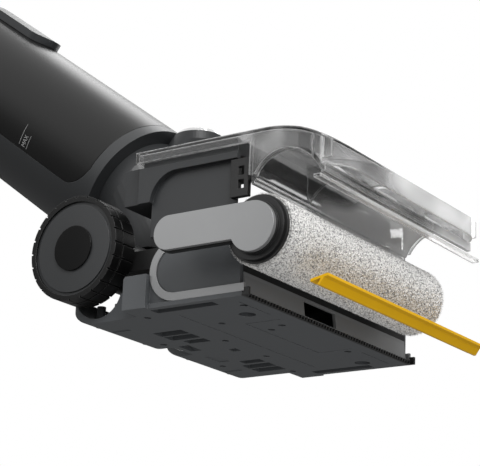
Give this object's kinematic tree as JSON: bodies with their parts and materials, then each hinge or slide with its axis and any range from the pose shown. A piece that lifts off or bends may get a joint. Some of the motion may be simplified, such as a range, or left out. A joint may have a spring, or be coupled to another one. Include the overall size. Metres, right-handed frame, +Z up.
{
  "type": "wet dry floor scrubber",
  "caption": "Upright wet dry floor washer with a pulled-out brush roller, lifted clear brush cover, dropped base plate, two rear wheels and a reclining tank body with handle.",
  "frame": {"origin": "centre of the base plate's flat underside", "axes": "+X along the brush roller to the drive side, +Y to the back, +Z up"},
  "size_m": [0.3243, 1.0328, 0.7431],
  "materials": {
    "dark_plastic": "fine moulded texture",
    "base_plastic": "fine moulded texture",
    "grey_plastic": "satin",
    "silver_paint": "satin metallic",
    "black_plastic": "satin",
    "gloss_black": "gloss",
    "tank_plastic": "smoked clear",
    "clear_plastic": "clear",
    "yellow_plastic": "satin",
    "rubber_black": "matt",
    "tyre_rubber": "matt",
    "roller_fabric": "short pile",
    "steel": "brushed",
    "chrome_ring": "plated",
    "tube_metal": "satin"
  },
  "bodies": {
    "chassis": {"chassis": "dark_plastic", "drive_motor": "steel", "drive_bracket": "black_plastic", "axle": "steel"},
    "base": {"base_plate": "base_plastic", "front_wall": "grey_plastic", "comb_strip": "black_plastic", "squeegee_bar": "rubber_black", "side_panels": "dark_plastic", "side_trims": "silver_paint", "base_screws": "steel"},
    "cover": {"top_housing": "dark_plastic", "clear_cover": "clear_plastic", "cover_latch_left": "black_plastic", "cover_latch_right": "black_plastic"},
    "splash_lip": {"splash_lip": "clear_plastic"},
    "edge_strip": {"edge_strip": "yellow_plastic"},
    "roller_arm": {"arm_body": "black_plastic", "arm_cover": "silver_paint", "arm_axle": "steel"},
    "roller": {"roller_core": "grey_plastic", "roller_flange": "black_plastic", "roller_pile": "roller_fabric"},
    "drive_hub": {"drive_hub": "steel"},
    "wheel_left": {"tyre_left": "tyre_rubber", "wheel_disc_left": "dark_plastic", "wheel_cap_left": "gloss_black"},
    "wheel_right": {"tyre_right": "tyre_rubber", "wheel_disc_right": "dark_plastic", "wheel_cap_right": "gloss_black"},
    "neck": {"neck": "dark_plastic", "knuckle_ring": "chrome_ring", "knuckle_cap": "gloss_black"},
    "body": {"rear_shell": "dark_plastic", "upper_shell": "dark_plastic", "handle_tube": "tube_metal", "grip": "black_plastic", "display": "gloss_black"},
    "dirty_tank": {"dirty_tank": "tank_plastic", "tank_lid": "dark_plastic"},
    "tank_latch": {"tank_latch": "dark_plastic"},
    "clean_tank": {"clean_tank": "tank_plastic", "clean_tank_cap": "black_plastic"},
    "power_button": {"power_button": "silver_paint"},
    "clean_button": {"clean_button": "grey_plastic"}
  },
  "joints": [
    {"name": "base_seat", "type": "slide", "parent": "chassis", "child": "base", "axis": [0, 0, 1], "range_m": [0, 0.017]},
    {"name": "cover_lift", "type": "slide", "parent": "chassis", "child": "cover", "axis": [0, 0, 1], "range_m": [-0.04, 0]},
    {"name": "splash_lip_seat", "type": "slide", "parent": "cover", "child": "splash_lip", "axis": [0, 0, 1], "range_m": [0, 0.005]},
    {"name": "edge_strip_seat", "type": "slide", "parent": "chassis", "child": "edge_strip", "axis": [0, 0, 1], "range_m": [0, 0.033]},
    {"name": "roller_push", "type": "slide", "parent": "chassis", "child": "roller_arm", "axis": [1, 0, 0], "range_m": [0, 0.025]},
    {"name": "hub_spin", "type": "hinge", "parent": "chassis", "child": "drive_hub", "pos_m": [0.12, -0.096, 0.046], "axis": [1, 0, 0], "continuous": true},
    {"name": "roller_spin", "type": "hinge", "parent": "roller_arm", "child": "roller", "pos_m": [0, -0.096, 0.046], "axis": [1, 0, 0], "continuous": true},
    {"name": "wheel_left_spin", "type": "hinge", "parent": "chassis", "child": "wheel_left", "pos_m": [-0.135, 0.112, 0.0625], "axis": [1, 0, 0], "continuous": true},
    {"name": "wheel_right_spin", "type": "hinge", "parent": "chassis", "child": "wheel_right", "pos_m": [0.135, 0.112, 0.0625], "axis": [1, 0, 0], "continuous": true},
    {"name": "recline", "type": "hinge", "parent": "chassis", "child": "neck", "pos_m": [0, 0.112, 0.0625], "axis": [1, 0, 0], "range_deg": [-32, 54]},
    {"name": "steer_swivel", "type": "hinge", "parent": "neck", "child": "body", "pos_m": [0, 0.15493, 0.16044], "axis": [0, 0.809, 0.5878], "range_deg": [-35, 35]},
    {"name": "dirty_tank_lift", "type": "slide", "parent": "body", "child": "dirty_tank", "axis": [0, -0.5878, 0.809], "range_m": [0, 0.08]},
    {"name": "tank_latch_slide", "type": "slide", "parent": "dirty_tank", "child": "tank_latch", "axis": [0, 0.809, 0.5878], "range_m": [0, 0.006], "stiffness_N_per_m": 300, "springref_m": -0.002},
    {"name": "clean_tank_pull", "type": "slide", "parent": "body", "child": "clean_tank", "axis": [0, 0.5878, -0.809], "range_m": [0, 0.08]},
    {"name": "power_press", "type": "slide", "parent": "body", "child": "power_button", "axis": [0, 0.5878, -0.809], "range_m": [0, 0.0015], "stiffness_N_per_m": 400, "springref_m": -0.0005},
    {"name": "clean_press", "type": "slide", "parent": "body", "child": "clean_button", "axis": [0, 0.5878, -0.809], "range_m": [0, 0.0015], "stiffness_N_per_m": 400, "springref_m": -0.0005}
  ],
  "couplings": [
    {"joint": "roller_spin", "follows": "hub_spin", "ratio": 1}
  ]
}
